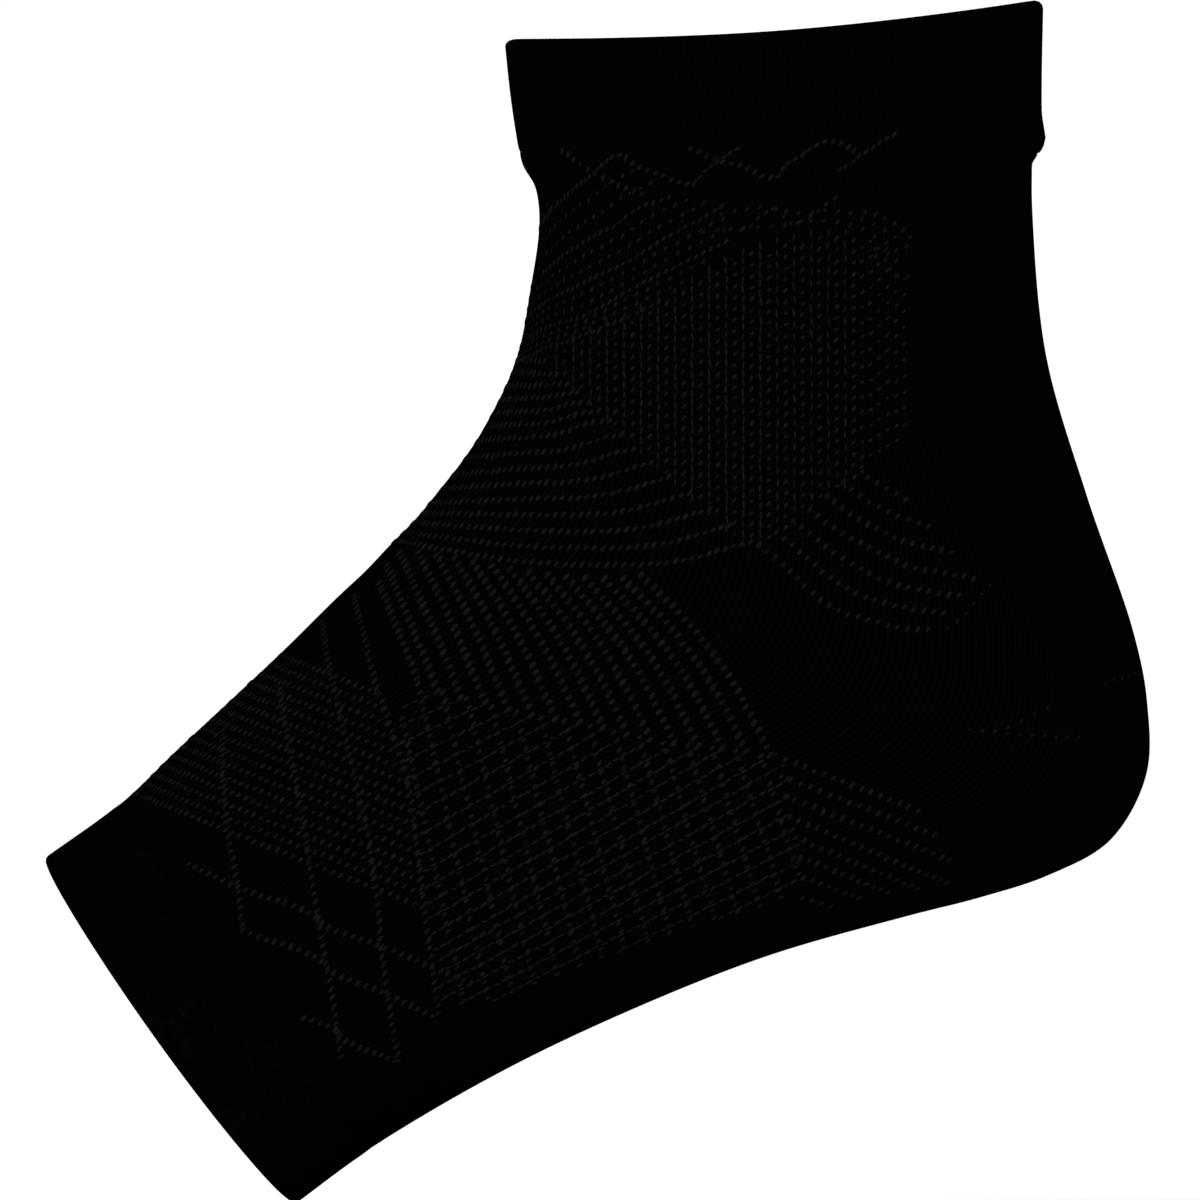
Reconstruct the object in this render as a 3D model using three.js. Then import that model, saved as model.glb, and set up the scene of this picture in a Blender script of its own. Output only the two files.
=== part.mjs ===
// Foot sleeve: an open-toe knitted compression sleeve, in the form that it has on a foot.
// Three pieces make it: a seamless body with a heel pocket, a doubled cuff at the ankle and a toe band.
// Millimetres, +Z up, toes towards -X, alike on both sides of Y = 0.
// The origin is the heel seat, where the heel rests on the inner face of the heel pocket.
import * as THREE from "three";
import { ParametricGeometry } from "three/addons/geometries/ParametricGeometry.js";

// Side profile, measured over the body's outer face from the heel seat
const lipHeight = 125.1; // up to the cuff's lower edge
const ankleDepth = 86.5; // from the front of the leg to its back, below the cuff
const achillesSetback = 2.1; // the leg's back line runs this far in front of the heel seat
const heelBulge = 18.2; // back to the rearmost point of the heel
const soleReach = 131.5; // forward to the toe edge under the sole
const toeDrop = 58.9; // down to the toe edge under the sole
const toeOpening = 74.5; // length of the toe edge, seen from the side
const toeSlant = THREE.MathUtils.degToRad(54); // the toe edge's slope against the level
const toeBow = 1.3; // how far the toe edge swells forward at the sides

// Widths over the body's outer face
const cuffWidth = 72;
const legWidth = 67;
const heelWidth = 68;
const ballWidth = 84;
const squareness = 2.35; // exponent of the rounded section: 2 is an ellipse, more is flatter at the sides

// Ankle bones, raised on both sides
const boneForward = 43; // in front of the heel seat
const boneHeight = 68; // above the heel seat
const boneRise = 3;
const boneSpread = 17;

// Cloth
const bodyWall = 1.5;
const plyThickness = 1.4; // each ply of the cuff
const clearance = 0.3; // between two pieces

// Cuff
const cuffHeight = 26.5; // from its lower edge to its top edge, at the back of the leg
const cuffSlant = 6.8; // the top edge is lower at the front by this
const cuffFlare = 4.4; // the top edge leans forward at the front by this
const cuffDip = 3; // the top edge sinks at the sides by this
const cuffLap = 6; // how far the body's top edge runs up between the plies
const lipThickness = 0.7; // the outer ply thins to this at its lower edge

// Toe band
const bandWidth = 16.8;
const bandRise = 0.35; // the band's outer face stands over the body's by this
const bandThickness = 2.1;

// Fineness of the facets
const sides = 40;
const ringsPerRow = 2.4;
const roundSteps = 4;
const flatRings = 3; // along each outer and inner face of the cuff and the band

// Corners of the side profile, as X and Z
const legHeight = lipHeight + cuffHeight;
const legFront = -achillesSetback - ankleDepth;
const toeUnder = { x: -soleReach, z: -toeDrop };
const toeOver = {
  x: toeUnder.x - toeOpening * Math.cos(toeSlant),
  z: toeUnder.z + toeOpening * Math.sin(toeSlant),
};

// Cuff sections: share of the cuff's height from its top edge, share of the flare, and how far the back line
// stands behind the leg's, as a share of the flare
const cuffColumns = ["down", "flare", "back"];
const cuffTable = [
  [0, 1, 0],
  [0.5, 0.76, -0.06],
  [1, 0.42, -0.06],
];
const cuffLean = -0.04;

// Body sections. The front point runs from the leg's front, level with the cuff's lower edge, to the upper end
// of the toe edge. The back point runs from the heel's rearmost line, level with the cuff's lower edge, to the
// toe edge's lower end. Both are shares of those runs and falls. Lean is how much fuller the back half is.
const bodyColumns = ["frontRun", "frontFall", "backRun", "backFall", "width", "lean"];
const bodyTable = [
  [0.0, 0.089, 0.137, 0.057, 1.0 * legWidth, -0.06],
  [0.018, 0.194, 0.121, 0.193, 0.985 * legWidth, -0.08],
  [0.048, 0.296, 0.074, 0.325, 1.0 * legWidth, -0.08],
  [0.113, 0.391, 0.019, 0.456, 1.0 * heelWidth, -0.07],
  [0.155, 0.436, 0.003, 0.522, 1.0 * heelWidth, -0.05],
  [0.2, 0.476, 0.004, 0.592, 1.0 * heelWidth, -0.03],
  [0.248, 0.517, 0.046, 0.654, 1.0 * heelWidth, 0.0],
  [0.301, 0.555, 0.117, 0.687, 1.01 * heelWidth, 0.03],
  [0.351, 0.592, 0.2, 0.709, 1.03 * heelWidth, 0.05],
  [0.406, 0.628, 0.282, 0.726, 0.86 * ballWidth, 0.07],
  [0.513, 0.702, 0.446, 0.764, 0.9 * ballWidth, 0.1],
  [0.622, 0.774, 0.602, 0.814, 0.94 * ballWidth, 0.12],
  [0.731, 0.845, 0.755, 0.873, 0.975 * ballWidth, 0.12],
];
const heelSeatIndex = 7; // the row of the body table whose back point lies under the heel seat
const bandLean = 0.12;

const named = (columns, row) => Object.fromEntries(columns.map((name, i) => [name, row[i]]));
const point = (x, z) => new THREE.Vector3(x, 0, z);

function cuffSection(row) {
  const { down, flare, back } = named(cuffColumns, row);
  const level = legHeight - down * cuffHeight;
  return {
    front: point(legFront - flare * cuffFlare, level - (1 - down) * cuffSlant),
    back: point(-achillesSetback + back * cuffFlare, level),
    shape: new THREE.Vector3(cuffWidth / 2, cuffLean, (1 - down) * cuffDip),
  };
}

function bodySection(row) {
  const { frontRun, frontFall, backRun, backFall, width, lean } = named(bodyColumns, row);
  return {
    front: point(
      THREE.MathUtils.lerp(legFront, toeOver.x, frontRun),
      THREE.MathUtils.lerp(lipHeight, toeOver.z, frontFall),
    ),
    back: point(
      THREE.MathUtils.lerp(heelBulge, toeUnder.x, backRun),
      THREE.MathUtils.lerp(lipHeight, toeUnder.z, backFall),
    ),
    shape: new THREE.Vector3(width / 2, lean, 0),
  };
}

// A section of the toe band, at a distance from the toe edge towards the heel
function bandSection(distance, bow) {
  const shift = point(distance * Math.sin(toeSlant), distance * Math.cos(toeSlant));
  return {
    front: point(toeOver.x, toeOver.z).add(shift),
    back: point(toeUnder.x, toeUnder.z).add(shift),
    shape: new THREE.Vector3(ballWidth / 2, bandLean, bow),
  };
}

const sections = [
  ...cuffTable.map(cuffSection),
  ...bodyTable.map(bodySection),
  bandSection(bandWidth, 0),
  bandSection(0, toeBow),
];
const lipRow = cuffTable.length - 1;
const heelRow = cuffTable.length + heelSeatIndex;
const toeRow = sections.length - 1;
const bandRow = toeRow - 1;

const curveThrough = (part) => new THREE.CatmullRomCurve3(sections.map((section) => section[part]));
const frontLine = curveThrough("front");
const backLine = curveThrough("back");
const shapeLine = curveThrough("shape");

// The body's outer face: turn goes round from the front of the leg, row counts the sections from the top edge
function facePoint(turn, row) {
  const along = row / toeRow;
  const front = frontLine.getPoint(along);
  const back = backLine.getPoint(along);
  const shape = shapeLine.getPoint(along);
  const cosine = Math.cos(turn);
  const sine = Math.sin(turn);
  const swell = (Math.abs(cosine) ** squareness + Math.abs(sine) ** squareness) ** (-1 / squareness);
  const halfDepth = back.clone().sub(front).divideScalar(2);
  const down = point(halfDepth.z, -halfDepth.x).normalize();
  const place = front.clone().add(back).divideScalar(2);
  place.addScaledVector(halfDepth, -cosine * swell);
  place.addScaledVector(down, shape.z * sine * sine);
  const off = Math.hypot(place.x + boneForward, place.z - boneHeight);
  const bone = boneRise * Math.exp(-((off / boneSpread) ** 2));
  place.y = sine * (swell * shape.x * (1 - shape.y * cosine) + bone);
  return place;
}

// A point that stands off the outer face by a lift, or lies inside it where the lift is negative
function clothPoint(turn, row, lift) {
  const turnStep = 1e-3;
  const rowStep = 1e-3;
  const before = Math.max(row - rowStep, 0);
  const after = Math.min(row + rowStep, toeRow);
  const around = facePoint(turn + turnStep, row).sub(facePoint(turn - turnStep, row));
  const along = facePoint(turn, after).sub(facePoint(turn, before));
  const outward = around.cross(along).normalize();
  return facePoint(turn, row).addScaledVector(outward, lift);
}

// Rows between two rows, both included, with enough rings to follow the surface
function rowsBetween(first, last, lift, ringCount) {
  const count = ringCount ?? Math.ceil(Math.abs(last - first) * ringsPerRow);
  return Array.from({ length: count + 1 }, (unused, i) => [first + ((last - first) * i) / count, lift]);
}

// A half round edge from one lift to another, which reaches out along the rows by its own radius
function roundEdge(row, rowsPerMillimetre, liftFrom, liftTo) {
  const middle = (liftFrom + liftTo) / 2;
  const radius = (liftFrom - liftTo) / 2;
  return Array.from({ length: roundSteps - 1 }, (unused, i) => {
    const angle = (Math.PI * (i + 1)) / roundSteps;
    return [row + Math.abs(radius) * rowsPerMillimetre * Math.sin(angle), middle + radius * Math.cos(angle)];
  });
}

// The closed solid swept round the leg and foot by a closed outline of row and lift pairs
function sweptCloth(name, outline, material) {
  const place = (around, along, target) => {
    const turn = 2 * Math.PI * (Math.round(around * sides) % sides) / sides;
    const [row, lift] = outline[Math.round(along * outline.length) % outline.length];
    target.copy(clothPoint(turn, row, lift).sub(heelSeat));
  };
  const mesh = new THREE.Mesh(new ParametricGeometry(place, sides, outline.length), material);
  mesh.name = name;
  return mesh;
}

const cuffRowsPerMillimetre = lipRow / cuffHeight;
const bandRowsPerMillimetre = 1 / bandWidth;

// The knitted tube, from inside the cuff's groove to the toe band
function bodyOutline() {
  const top = lipRow - cuffLap * cuffRowsPerMillimetre;
  const end = bandRow - clearance * bandRowsPerMillimetre;
  return [...rowsBetween(top, end, 0), ...rowsBetween(end, top, -bodyWall)];
}

// Two plies joined by a round fold at the top edge and pressed together, with a groove for the body's edge
function cuffOutline() {
  const perMillimetre = cuffRowsPerMillimetre;
  const outer = clearance + plyThickness;
  const pressed = outer - 2 * plyThickness;
  const inner = -bodyWall - clearance - plyThickness;
  const foldRow = plyThickness * perMillimetre;
  const grooveTop = lipRow - (cuffLap + clearance) * perMillimetre;
  const spread = grooveTop - plyThickness * perMillimetre;
  return [
    [lipRow, clearance],
    [grooveTop, clearance],
    [grooveTop, -bodyWall - clearance],
    [lipRow, -bodyWall - clearance],
    ...rowsBetween(lipRow, spread, inner, flatRings - 1),
    ...rowsBetween((foldRow + spread) / 2, foldRow, pressed, flatRings - 1),
    ...roundEdge(foldRow, -perMillimetre, pressed, outer),
    ...rowsBetween(foldRow, grooveTop, outer, flatRings),
    [lipRow, clearance + lipThickness],
  ];
}

// A band with a round edge at the toes, butted against the body's end
function bandOutline() {
  const perMillimetre = bandRowsPerMillimetre;
  const under = bandRise - bandThickness;
  const edge = toeRow - (bandThickness / 2) * perMillimetre;
  return [
    ...rowsBetween(bandRow, edge, bandRise, flatRings),
    ...roundEdge(edge, perMillimetre, bandRise, under),
    ...rowsBetween(edge, bandRow, under, flatRings),
  ];
}

const knit = (color, roughness) => new THREE.MeshStandardMaterial({ color, roughness, metalness: 0 });

const heelSeat = clothPoint(Math.PI, heelRow, -bodyWall);
const sleeve = new THREE.Group();
sleeve.add(
  sweptCloth("sleeve_body", bodyOutline(), knit("#0c0c0d", 0.9)),
  sweptCloth("ankle_cuff", cuffOutline(), knit("#0a0a0b", 0.92)),
  sweptCloth("toe_band", bandOutline(), knit("#101011", 0.9)),
);

export default sleeve;
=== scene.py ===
# %% [markdown]
# # A knitted foot sleeve
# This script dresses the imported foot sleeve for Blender. The sleeve is held in the form that it has on a
# foot. Everything is in metres and in the part's own frame: +Z up, the toes towards -X, and both sides
# alike. The origin is the heel seat, where the wearer's heel rests on the inner face of the heel pocket.

# %% Load the frame
import math

import bpy
import numpy as np
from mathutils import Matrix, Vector


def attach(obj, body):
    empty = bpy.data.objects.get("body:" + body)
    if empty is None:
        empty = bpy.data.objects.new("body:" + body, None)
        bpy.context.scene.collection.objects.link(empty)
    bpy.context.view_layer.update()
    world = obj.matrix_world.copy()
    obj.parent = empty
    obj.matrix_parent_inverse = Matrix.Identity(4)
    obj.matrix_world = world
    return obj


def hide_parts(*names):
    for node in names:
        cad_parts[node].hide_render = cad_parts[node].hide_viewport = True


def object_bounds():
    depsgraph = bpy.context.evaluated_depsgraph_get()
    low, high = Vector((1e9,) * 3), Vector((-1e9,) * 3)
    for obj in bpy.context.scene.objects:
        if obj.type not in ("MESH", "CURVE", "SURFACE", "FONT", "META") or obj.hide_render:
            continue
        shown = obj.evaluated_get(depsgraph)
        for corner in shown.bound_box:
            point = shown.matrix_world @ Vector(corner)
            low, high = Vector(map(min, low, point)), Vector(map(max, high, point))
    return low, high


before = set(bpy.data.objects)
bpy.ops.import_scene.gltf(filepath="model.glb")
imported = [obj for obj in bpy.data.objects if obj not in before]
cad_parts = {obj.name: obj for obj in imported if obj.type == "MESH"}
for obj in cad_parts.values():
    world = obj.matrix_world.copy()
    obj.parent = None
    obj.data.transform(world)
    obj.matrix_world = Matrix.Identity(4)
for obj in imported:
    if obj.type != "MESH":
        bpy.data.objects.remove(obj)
cad_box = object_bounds()
print("nodes:", sorted(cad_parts))

# %% [markdown]
# ## The surface
# The real sleeve is knitted as one tube and takes its form from the foot in it. It could be sculpted over
# a foot, but then it would not lie on the part's solids. Here it is swept round the leg and the foot, as
# they are. Each section of the side profile has a front point, a back point and a shape: half its width,
# how much fuller its back half is, and how far its sides bow. The lines through these points are
# centripetal Catmull-Rom curves. The cloth lies on the solids, but for a soft swell of 1 to 2 mm at the
# cuff's lower edge and a band that is more flush. Lengths in these cells are millimetres, and they are
# turned to metres last.

# %% Sizes of the side profile
LIP_HEIGHT = 125.1
ANKLE_DEPTH = 86.5
ACHILLES_SETBACK = 2.1
HEEL_BULGE = 18.2
SOLE_REACH = 131.5
TOE_DROP = 58.9
TOE_OPENING = 74.5
TOE_SLANT = math.radians(54)
TOE_BOW = 1.3
CUFF_WIDTH = 72
LEG_WIDTH = 67
HEEL_WIDTH = 68
BALL_WIDTH = 84
SQUARENESS = 2.35
BONE_FORWARD, BONE_HEIGHT, BONE_RISE, BONE_SPREAD = 43, 68, 3, 17
BODY_WALL = 1.5
PLY = 1.4
CLEARANCE = 0.3
CUFF_HEIGHT = 26.5
CUFF_SLANT = 6.8
CUFF_FLARE = 4.4
CUFF_DIP = 3
CUFF_LAP = 6
BAND_WIDTH = 16.8
BAND_RISE = 0.35
BAND_THICKNESS = 2.1
MM = 0.001

# Cuff sections: down from the top edge, flare at the front, and back line against the leg's, all shares.
CUFF_TABLE = [(0, 1, 0), (0.5, 0.76, -0.06), (1, 0.42, -0.06)]
CUFF_LEAN = -0.04

# Body sections: front run, front fall, back run, back fall, width, lean.
BODY_TABLE = [
    (0.0, 0.089, 0.137, 0.057, 1.0 * LEG_WIDTH, -0.06),
    (0.018, 0.194, 0.121, 0.193, 0.985 * LEG_WIDTH, -0.08),
    (0.048, 0.296, 0.074, 0.325, 1.0 * LEG_WIDTH, -0.08),
    (0.113, 0.391, 0.019, 0.456, 1.0 * HEEL_WIDTH, -0.07),
    (0.155, 0.436, 0.003, 0.522, 1.0 * HEEL_WIDTH, -0.05),
    (0.2, 0.476, 0.004, 0.592, 1.0 * HEEL_WIDTH, -0.03),
    (0.248, 0.517, 0.046, 0.654, 1.0 * HEEL_WIDTH, 0.0),
    (0.301, 0.555, 0.117, 0.687, 1.01 * HEEL_WIDTH, 0.03),
    (0.351, 0.592, 0.2, 0.709, 1.03 * HEEL_WIDTH, 0.05),
    (0.406, 0.628, 0.282, 0.726, 0.86 * BALL_WIDTH, 0.07),
    (0.513, 0.702, 0.446, 0.764, 0.9 * BALL_WIDTH, 0.1),
    (0.622, 0.774, 0.602, 0.814, 0.94 * BALL_WIDTH, 0.12),
    (0.731, 0.845, 0.755, 0.873, 0.975 * BALL_WIDTH, 0.12),
]
BAND_LEAN = 0.12


# %% Sections of the tube
def side_sections():
    """The front points, back points and shapes of the sections, from the cuff's top to the toe edge."""
    leg_height = LIP_HEIGHT + CUFF_HEIGHT
    leg_front = -ACHILLES_SETBACK - ANKLE_DEPTH
    under = (-SOLE_REACH, -TOE_DROP)
    over = (
        under[0] - TOE_OPENING * math.cos(TOE_SLANT),
        under[1] + TOE_OPENING * math.sin(TOE_SLANT),
    )
    front, back, shape = [], [], []
    for down, flare, behind in CUFF_TABLE:
        level = leg_height - down * CUFF_HEIGHT
        front.append((leg_front - flare * CUFF_FLARE, level - (1 - down) * CUFF_SLANT))
        back.append((-ACHILLES_SETBACK + behind * CUFF_FLARE, level))
        shape.append((CUFF_WIDTH / 2, CUFF_LEAN, (1 - down) * CUFF_DIP))
    for front_run, front_fall, back_run, back_fall, width, lean in BODY_TABLE:
        front.append((
            leg_front + (over[0] - leg_front) * front_run,
            LIP_HEIGHT + (over[1] - LIP_HEIGHT) * front_fall,
        ))
        back.append((
            HEEL_BULGE + (under[0] - HEEL_BULGE) * back_run,
            LIP_HEIGHT + (under[1] - LIP_HEIGHT) * back_fall,
        ))
        shape.append((width / 2, lean, 0))
    for distance, bow in ((BAND_WIDTH, 0), (0, TOE_BOW)):
        shift = (distance * math.sin(TOE_SLANT), distance * math.cos(TOE_SLANT))
        front.append((over[0] + shift[0], over[1] + shift[1]))
        back.append((under[0] + shift[0], under[1] + shift[1]))
        shape.append((BALL_WIDTH / 2, BAND_LEAN, bow))
    return front, back, shape


def catmull_rom(points, along):
    """Points of the centripetal Catmull-Rom curve at shares of its length in sections."""
    known = np.asarray(points, float)
    known = np.vstack([2 * known[0] - known[1], known, 2 * known[-1] - known[-2]])
    at = np.clip(along, 0, 1) * (len(known) - 3)
    first = np.minimum(at.astype(int), len(known) - 4)
    part = (at - first)[..., None]
    a, b, c, d = (known[first + k] for k in range(4))
    ab, bc, cd = (np.sum((q - p) ** 2, -1, keepdims=True) ** 0.25 for p, q in ((a, b), (b, c), (c, d)))
    leave = ((b - a) / ab - (c - a) / (ab + bc) + (c - b) / bc) * bc
    arrive = ((c - b) / bc - (d - b) / (bc + cd) + (d - c) / cd) * bc
    square = 3 * (c - b) - 2 * leave - arrive
    cube = 2 * (b - c) + leave + arrive
    return b + part * (leave + part * (square + part * cube))


FRONT, BACK, SHAPE = side_sections()
LIP_ROW = len(CUFF_TABLE) - 1
HEEL_SECTION = 7
HEEL_ROW = len(CUFF_TABLE) + HEEL_SECTION
TOE_ROW = len(FRONT) - 1
BAND_ROW = TOE_ROW - 1
print("sections:", len(FRONT), "heel row:", HEEL_ROW, "toe row:", TOE_ROW)


# %% Points on the cloth
def swell_of(turn):
    """How far a rounded section reaches out at a turn, as a share of its half depth and half width."""
    power = np.abs(np.cos(turn)) ** SQUARENESS + np.abs(np.sin(turn)) ** SQUARENESS
    return power ** (-1 / SQUARENESS)


def face_point(turn, row):
    """Points on the body's outer face. turn goes round from the front, row down from the top edge."""
    turn, row = np.broadcast_arrays(np.asarray(turn, float), np.asarray(row, float))
    front, back, shape = (catmull_rom(line, row / TOE_ROW) for line in (FRONT, BACK, SHAPE))
    cosine, sine, swell = np.cos(turn), np.sin(turn), swell_of(turn)
    half = (back - front) / 2
    down = np.stack([half[..., 1], -half[..., 0]], -1)
    down = down / np.linalg.norm(down, axis=-1, keepdims=True)
    place = (front + back) / 2 - half * (cosine * swell)[..., None]
    place = place + down * (shape[..., 2] * sine**2)[..., None]
    off = np.hypot(place[..., 0] + BONE_FORWARD, place[..., 1] - BONE_HEIGHT)
    bone = BONE_RISE * np.exp(-((off / BONE_SPREAD) ** 2))
    side = sine * (swell * shape[..., 0] * (1 - shape[..., 1] * cosine) + bone)
    return np.stack([place[..., 0], side, place[..., 1]], -1)


def outward(turn, row):
    """The cloth's outward direction."""
    step = 1e-3
    turn, row = np.broadcast_arrays(np.asarray(turn, float), np.asarray(row, float))
    around = face_point(turn + step, row) - face_point(turn - step, row)
    along = face_point(turn, np.minimum(row + step, TOE_ROW)) - face_point(turn, np.maximum(row - step, 0))
    normal = np.cross(around, along)
    return normal / np.linalg.norm(normal, axis=-1, keepdims=True)


# The run from the cuff's lower edge to the next section, the body's swell there, and the cuff's roll.
FIRST_ROW_RUN = 10.8
SWELL, SWELL_MORE, SWELL_LEAD = 1.25, 0.3, 0.8
SWELL_REACH, SWELL_FORWARD = 2.9, 1.5
ROLL, ROLL_HEIGHT, ROLL_SPREAD = 0.7, 3.0, 2.4


def body_swell(turn, row):
    """How far the body swells just under the cuff, most at the front, for a soft edge."""
    below = (row - LIP_ROW) * FIRST_ROW_RUN
    reach = SWELL_REACH + SWELL_FORWARD * np.cos(turn)
    swell = (SWELL + SWELL_MORE * np.cos(turn)) * np.exp(-((np.maximum(below, 0.0) / reach) ** 3))
    return np.where(below > -SWELL_LEAD, swell, 0.0)


def cuff_swell(turn, row):
    """How far the cuff rolls out just above its lower edge, at the back."""
    above = (LIP_ROW - row) / LIP_ROW * CUFF_HEIGHT
    return ROLL * (1 - np.cos(turn)) / 2 * np.exp(-(((above - ROLL_HEIGHT) / ROLL_SPREAD) ** 2))


def cloth_point(turn, row, lift):
    """Points that stand off the outer face by a lift in millimetres, in the part's frame."""
    return face_point(turn, row) + outward(turn, row) * np.asarray(lift, float)[..., None] - SEAT


SEAT = 0.0  # until the heel seat is known, in the next line
SEAT = cloth_point(math.pi, HEEL_ROW, -BODY_WALL)
print("heel seat lies at", np.round(SEAT, 3), "mm of the side profile")

# %% [markdown]
# ## The wales and courses of the knit
# A knitted tube has the same number of stitches all round, so the wale number follows the turn. The
# courses are counted from the cuff on the leg and from the toes on the foot. The two counts meet in a
# mitre at the heel row, as they do at the gore of a real heel pocket. A tiled picture of a knit would be
# easier, but its rows would not turn at the heel. Both numbers go into the UV map, and the material knits
# with them.

# %% Count the stitches
WALES = 176
COURSE = 1.05
COUNT_ROWS = np.linspace(0, TOE_ROW, 341)


def course_counts(turns):
    """Courses from the cuff, and courses from the toe edge, at each count row and turn."""
    grid = face_point(turns[None, :], COUNT_ROWS[:, None])
    step = np.linalg.norm(np.diff(grid, axis=0), axis=-1)
    down = np.vstack([np.zeros((1, len(turns))), np.cumsum(step, 0)]) / COURSE
    return down, down[-1:] - down


def at_rows(table, rows):
    """The columns of a table of count rows, read at other rows."""
    return np.stack([np.interp(rows, COUNT_ROWS, table[:, i]) for i in range(table.shape[1])], -1)


# %% [markdown]
# ## The cloth pieces
# Each piece is a closed outline of row and lift pairs, swept all the way round. A Solidify modifier could
# give a skin its wall, but it can't turn a welt. With an outline the cuff has its two plies, the turned
# edge and the groove that holds the body's top edge.

# %% Sweep an outline into a mesh
def rows_between(first, last, lift, count):
    """Row and lift pairs at one lift, evenly from one row to another."""
    return [(first + (last - first) * i / count, lift) for i in range(count + 1)]


def round_edge(row, per_mm, lift_from, lift_to, steps=6):
    """Row and lift pairs round half a circle, from one face of a wall to the other."""
    middle, radius = (lift_from + lift_to) / 2, (lift_from - lift_to) / 2
    angles = [math.pi * (i + 1) / steps for i in range(steps - 1)]
    return [(row + abs(radius) * per_mm * math.sin(a), middle + radius * math.cos(a)) for a in angles]


def mesh_object(name, verts, faces):
    """A new object with this mesh, linked to the scene."""
    mesh = bpy.data.meshes.new(name)
    mesh.from_pydata(verts.tolist(), [], faces.tolist())
    mesh.validate()
    made = bpy.data.objects.new(name, mesh)
    bpy.context.scene.collection.objects.link(made)
    return made


def swept_cloth(name, outline, around, swell=None):
    """A closed mesh swept round by the outline, with the stitch counts in its UV map."""
    rows = np.array([row for row, lift in outline])
    lifts = np.array([lift for row, lift in outline])
    turns = 2 * math.pi * np.arange(around) / around
    lift = np.repeat(lifts[:, None], around, 1)
    if swell:
        lift = lift + np.where(lift > -BODY_WALL / 2, swell(turns[None, :], rows[:, None]), 0.0)
    verts = cloth_point(turns[None, :], rows[:, None], lift).reshape(-1, 3) * MM
    ring, column = np.meshgrid(np.arange(len(rows)), np.arange(around), indexing="ij")
    next_ring, next_column = (ring + 1) % len(rows), (column + 1) % around
    corners = [(ring, column), (ring, next_column), (next_ring, next_column), (next_ring, column)]
    faces = np.stack([r * around + c for r, c in corners], -1).reshape(-1, 4)
    made = mesh_object(name, verts, faces)

    from_cuff, from_toe = course_counts(turns)
    columns = [column, column + 1, column + 1, column]
    middle = (rows[ring] + rows[next_ring]) / 2
    uv = np.zeros((len(rows), around, 4, 2))
    counts = [at_rows(table, rows) for table in (from_cuff, from_toe)]
    for k, (r, c) in enumerate(corners):
        uv[..., k, 0] = columns[k] * WALES / around
        uv[..., k, 1] = np.where(middle < HEEL_ROW, counts[0][r, c], counts[1][r, c])
    layer = made.data.uv_layers.new(name="stitches")
    layer.data.foreach_set("uv", uv.reshape(-1))
    for polygon in made.data.polygons:
        polygon.use_smooth = True
    return made


# %% The body, the cuff and the toe band
CUFF_PER_MM = LIP_ROW / CUFF_HEIGHT
BAND_PER_MM = 1 / BAND_WIDTH

body_top = LIP_ROW - CUFF_LAP * CUFF_PER_MM
body_end = BAND_ROW
OUTER_ROWS, INNER_ROWS = 230, 70
body_outline = (
    rows_between(body_top, body_end, 0, OUTER_ROWS)
    + rows_between(body_end, body_top, -BODY_WALL, INNER_ROWS)
)

ply_outer = CLEARANCE + PLY
ply_pressed = ply_outer - 2 * PLY
ply_inner = -BODY_WALL - CLEARANCE - PLY
fold_row = PLY * CUFF_PER_MM
groove_top = LIP_ROW - (CUFF_LAP + CLEARANCE) * CUFF_PER_MM
spread_row = groove_top - PLY * CUFF_PER_MM
CUFF_LIP = [(2.6, 1.7), (1.2, 1.65), (0.4, 1.45), (0, 1.2)]  # millimetres above the lower edge, and lift
cuff_outline = (
    rows_between(LIP_ROW, groove_top, CLEARANCE, 4)
    + rows_between(groove_top, LIP_ROW, -BODY_WALL - CLEARANCE, 4)
    + rows_between(LIP_ROW, spread_row, ply_inner, 6)
    + rows_between((fold_row + spread_row) / 2, fold_row, ply_pressed, 10)
    + round_edge(fold_row, -CUFF_PER_MM, ply_pressed, ply_outer)
    + rows_between(fold_row, groove_top, ply_outer, 22)
    + [(LIP_ROW - above * CUFF_PER_MM, lift) for above, lift in CUFF_LIP]
)

band_under = BAND_RISE - BAND_THICKNESS
band_face = 0.12  # the knit lies nearly flush with the body, as the join does not show
band_slope = 1.8
band_edge = TOE_ROW - BAND_THICKNESS / 2 * BAND_PER_MM
band_outline = (
    [(BAND_ROW, 0.0)]
    + rows_between(BAND_ROW + band_slope * BAND_PER_MM, band_edge, band_face, 24)
    + round_edge(band_edge, BAND_PER_MM, band_face, band_under)
    + rows_between(band_edge, BAND_ROW, band_under, 14)
)

AROUND = 220
body = swept_cloth("knit_body", body_outline, AROUND, body_swell)
cuff = swept_cloth("knit_cuff", cuff_outline, AROUND, cuff_swell)
band = swept_cloth("knit_toe_band", band_outline, AROUND)
for made in (body, cuff, band):
    print(made.name, len(made.data.polygons) * 2, "triangles")

# %% [markdown]
# ## Guide lines for the raised stitches
# The sleeve carries a relief of raised stitches: a zigzag under the cuff, a panel of upright lines at the
# ankle, fans of rows round the heel and over the instep, and a lattice on the foot. A bump in the
# material would be cheaper, but loops of yarn stand up and catch the light one by one. Each line is
# charted in the side view, as X and Z in millimetres. A family of lines is worked out between two
# or more charted lines, so most of the relief comes from a few of them. The far side is the mirror image.


# %% Tools for guide lines
CURVE_STEPS = 16
FAMILY_POINTS = 24


def drawn(line):
    """A charted line as a fine Catmull-Rom curve, and the distance run at each of its points."""
    line = np.asarray(line, float)
    if len(line) > 2:
        line = catmull_rom(line, np.linspace(0, 1, CURVE_STEPS * len(line)))
    return line, np.concatenate([[0], np.cumsum(np.linalg.norm(np.diff(line, axis=0), axis=1))])


def points_at(line, run, at):
    """The points of a line at distances along its run."""
    return np.stack([np.interp(at, run, line[:, 0]), np.interp(at, run, line[:, 1])], -1)


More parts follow.
